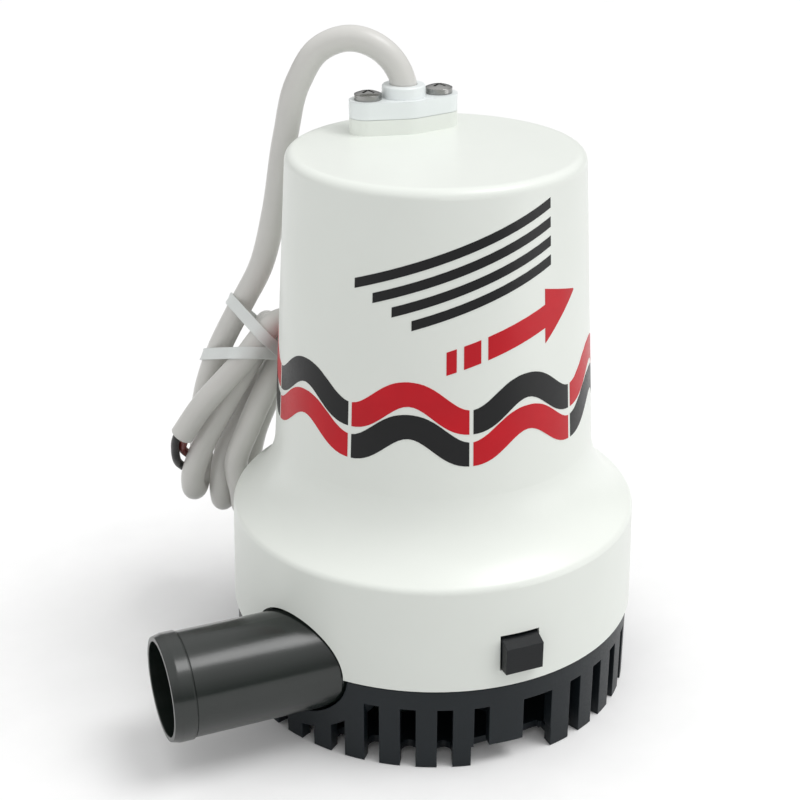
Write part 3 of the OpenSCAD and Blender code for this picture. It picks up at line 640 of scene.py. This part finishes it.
HANK_PATH = curve([Vector(p) for p in ARCH + LOOPS + FREE_END], CABLE_STEPS)
tie_lock("tie_level_lock", *strap("tie_level", (-73.5, 20, 118.5), 0, (4, 22)), (4, 52))
tie_lock("tie_leaning_lock", *strap("tie_leaning", (-68.3, 24, 128.2), 45, (2, 20)), (8, 50))


# ---- The print on the housing ----
# Angles are in degrees to the right of the direction that faces the camera, heights in millimetres.

FRONT = 247.34  # the direction that faces the camera
WAIST_R, WAIST_Z, DRAFT = 58.4, 98.0, math.radians(3.44)
INK = 0.08        # how far the ink stands out of the wall
INK_ROOT = -0.15  # how far it reaches into the wall
INK_CREASE = 20
MM_PER_DEGREE = 0.97
LINES, LINE_PITCH, LINE_W, LINE_RISE = 4, 6.4, 3.4, 0.33
LINE_LOW, LINE_START, LINE_STEP, LINE_END = 160.5, -9.0, 7.0, 44.0
ARROW_Z, ARROW_RISE = 145.5, 0.30
# Start and end of each length, and half its width at both: two blocks, the shaft and the head
ARROW_BARS = ((3, 6.5, 4, 4), (9, 15, 4, 4), (17.5, 41, 4, 4), (41, 58, 9.5, 0.3))
WAVE_PITCH, WAVE_CREST, WAVE_GAP = 42.5, -9.6, 0.7
WAVE_HALF, WAVE_HEIGHT = 4.3, 5.0


def on_housing(angle, z, lift):
    radius = WAIST_R - (z - WAIST_Z) * math.tan(DRAFT) + lift
    a = math.radians(FRONT + angle)
    return Vector((radius * math.cos(a), radius * math.sin(a), z))


def ink(shape, pairs):
    """A closed skin of ink between two edges, given as pairs of (angle, height)."""
    shape.rings([[on_housing(*low, INK_ROOT), on_housing(*low, INK), on_housing(*high, INK),
                  on_housing(*high, INK_ROOT)] for low, high in pairs])


def speed_lines():
    """Plain parallel lines that rise to the right. Each starts further right than the one above it."""
    shape = Shape()
    for row in range(LINES):
        low = LINE_LOW + LINE_PITCH * row
        ink(shape, [((a, low + LINE_RISE * a), (a, low + LINE_RISE * a + LINE_W))
                    for a in even(LINE_START - LINE_STEP * row, LINE_END, 24)])
    return shape.piece("print_stripes", [PRINT_BLACK], crease=INK_CREASE)


def arrow():
    """A plain arrow that rises to the right, with two short blocks behind it."""
    shape = Shape()
    for start, end, half_start, half_end in ARROW_BARS:
        ink(shape, [((a, ARROW_Z + ARROW_RISE * a - h), (a, ARROW_Z + ARROW_RISE * a + h))
                    for a, h in zip(even(start, end, 14), even(half_start, half_end, 14))])
    return shape.piece("print_arrow", [PRINT_RED], crease=INK_CREASE)


def wave(name, middle, first):
    """A wavy band in lengths of red and black that take turns."""
    shape = Shape()
    for k in range(-3, 4):
        crest = WAVE_CREST + WAVE_PITCH * k
        reach = WAVE_PITCH / 2
        pairs = []
        for a in even(crest - reach + WAVE_GAP, crest + reach - WAVE_GAP, 24):
            phase = math.tau * (a - crest) / WAVE_PITCH
            z = middle + WAVE_HEIGHT * math.cos(phase)
            slope = -WAVE_HEIGHT * math.sin(phase) * math.tau / (WAVE_PITCH * MM_PER_DEGREE)
            across = WAVE_HALF * math.sqrt(1 + slope * slope)
            pairs.append(((a, z - across), (a, z + across)))
        before = len(shape.faces)
        ink(shape, pairs)
        for i in range(before, len(shape.faces)):
            shape.slots[i] = (k + first) % 2
    return shape.piece(name, [PRINT_RED, PRINT_BLACK], crease=INK_CREASE)


speed_lines()
arrow()
wave("print_wave_upper", 130.5, 0)
wave("print_wave_lower", 119.0, 1)


# ---- Stage, lights and camera ----


FLOOR_HALF, FLOOR_GAP = 8, 0.0002
FLOOR_BOUNCE = 0.50   # how pale the floor is to the soft light that it throws back onto the pump
SKY = 0.75            # the even light all round
MIRRORED = (0.10, 1.15)  # what glossy surfaces mirror at the horizon and overhead


def studio_floor():
    mesh = bpy.data.meshes.new("studio_floor")
    z = CAD_BOX[0].z - FLOOR_GAP
    corners = [(x * FLOOR_HALF, y * FLOOR_HALF, z) for x, y in ((-1, -1), (1, -1), (1, 1), (-1, 1))]
    mesh.from_pydata(corners, [], [(0, 1, 2, 3)])
    n = Nodes(bpy.data.materials.new("studio_floor"))
    clouds = n.spread(n.noise(n.place(), 40.0, 5.0), 0.0, 1.0)
    pale = n.mix(clouds, srgb(249, 249, 249), srgb(253, 253, 253))
    soft = n.add("ShaderNodeLightPath").outputs["Is Diffuse Ray"]
    tone = n.mix(soft, pale, (FLOOR_BOUNCE, FLOOR_BOUNCE, FLOOR_BOUNCE, 1))
    diffuse = n.add("ShaderNodeBsdfDiffuse", {"Color": tone})
    n.add("ShaderNodeOutputMaterial", {"Surface": diffuse.outputs[0]})
    mesh.materials.append(n.owner)
    obj = bpy.data.objects.new("studio_floor", mesh)
    bpy.context.scene.collection.objects.link(obj)


def studio_world():
    """White to the camera, even to soft light, and dark at the horizon where glossy surfaces mirror it."""
    world = bpy.data.worlds.new("studio")
    bpy.context.scene.world = world
    n = Nodes(world)
    direction = n.add("ShaderNodeTexCoord").outputs["Generated"]
    height = n.add("ShaderNodeSeparateXYZ", {0: direction}).outputs["Z"]
    rays = n.add("ShaderNodeLightPath")
    mirrored = n.spread(height, *MIRRORED, 0.0, 0.8)
    strength = n.choose(rays.outputs["Is Glossy Ray"], SKY, mirrored)
    strength = n.choose(rays.outputs["Is Camera Ray"], strength, 1.0)
    background = n.add("ShaderNodeBackground", {"Color": (1, 1, 1, 1), "Strength": strength})
    n.add("ShaderNodeOutputWorld", {"Surface": background.outputs[0]})


def light(name, kind, towards, strength, far=1.2, **settings):
    """A lamp that shines at the pump from a direction."""
    data = bpy.data.lights.new(name, kind)
    data.energy = strength
    for key, value in settings.items():
        setattr(data, key, value)
    obj = bpy.data.objects.new(name, data)
    bpy.context.scene.collection.objects.link(obj)
    away = Vector(towards).normalized()
    obj.location = Vector((0, 0, 0.1)) + away * far
    obj.rotation_mode = "QUATERNION"
    obj.rotation_quaternion = away.to_track_quat("Z", "Y")
    return obj


studio_floor()
studio_world()
RIGHT = Vector((0.923, -0.385, 0))   # to the right in the camera's view
NEAR = Vector((-0.385, -0.923, 0))  # towards the camera
light("key", "SUN", RIGHT * 0.6 + NEAR * 0.1 + Vector((0, 0, 1.2)), 1.03, angle=math.radians(30))
light("right_card", "AREA", RIGHT * 1.0 + NEAR * 0.35 + Vector((0, 0, -0.08)), 0.28, 0.55,
      shape="RECTANGLE", size=0.35, size_y=0.2)
light("top_strip", "AREA", (0.2, -0.39, 0.86), 1.1, shape="RECTANGLE", size=1.3, size_y=0.07)
light("left_card", "AREA", RIGHT * -1.0 + NEAR * 0.35 + Vector((0, 0, 0.1)), 1.0,
      shape="RECTANGLE", size=0.9, size_y=0.9)

LENS, SENSOR = 70.4, 36.0
CAMERA_AT = Vector((-0.2141, -0.4810, 0.3454))
CAMERA_AIM = Vector((-0.0133, 0.0, 0.1110))
camera_data = bpy.data.cameras.new("camera")
camera_data.lens = LENS
camera_data.sensor_width = SENSOR
camera_data.clip_start = 0.02
camera = bpy.data.objects.new("camera", camera_data)
bpy.context.scene.collection.objects.link(camera)
camera.location = CAMERA_AT
camera.rotation_mode = "QUATERNION"
camera.rotation_quaternion = (CAMERA_AT - CAMERA_AIM).to_track_quat("Z", "Y")
bpy.context.scene.camera = camera
bpy.context.scene.view_settings.view_transform = "Standard"
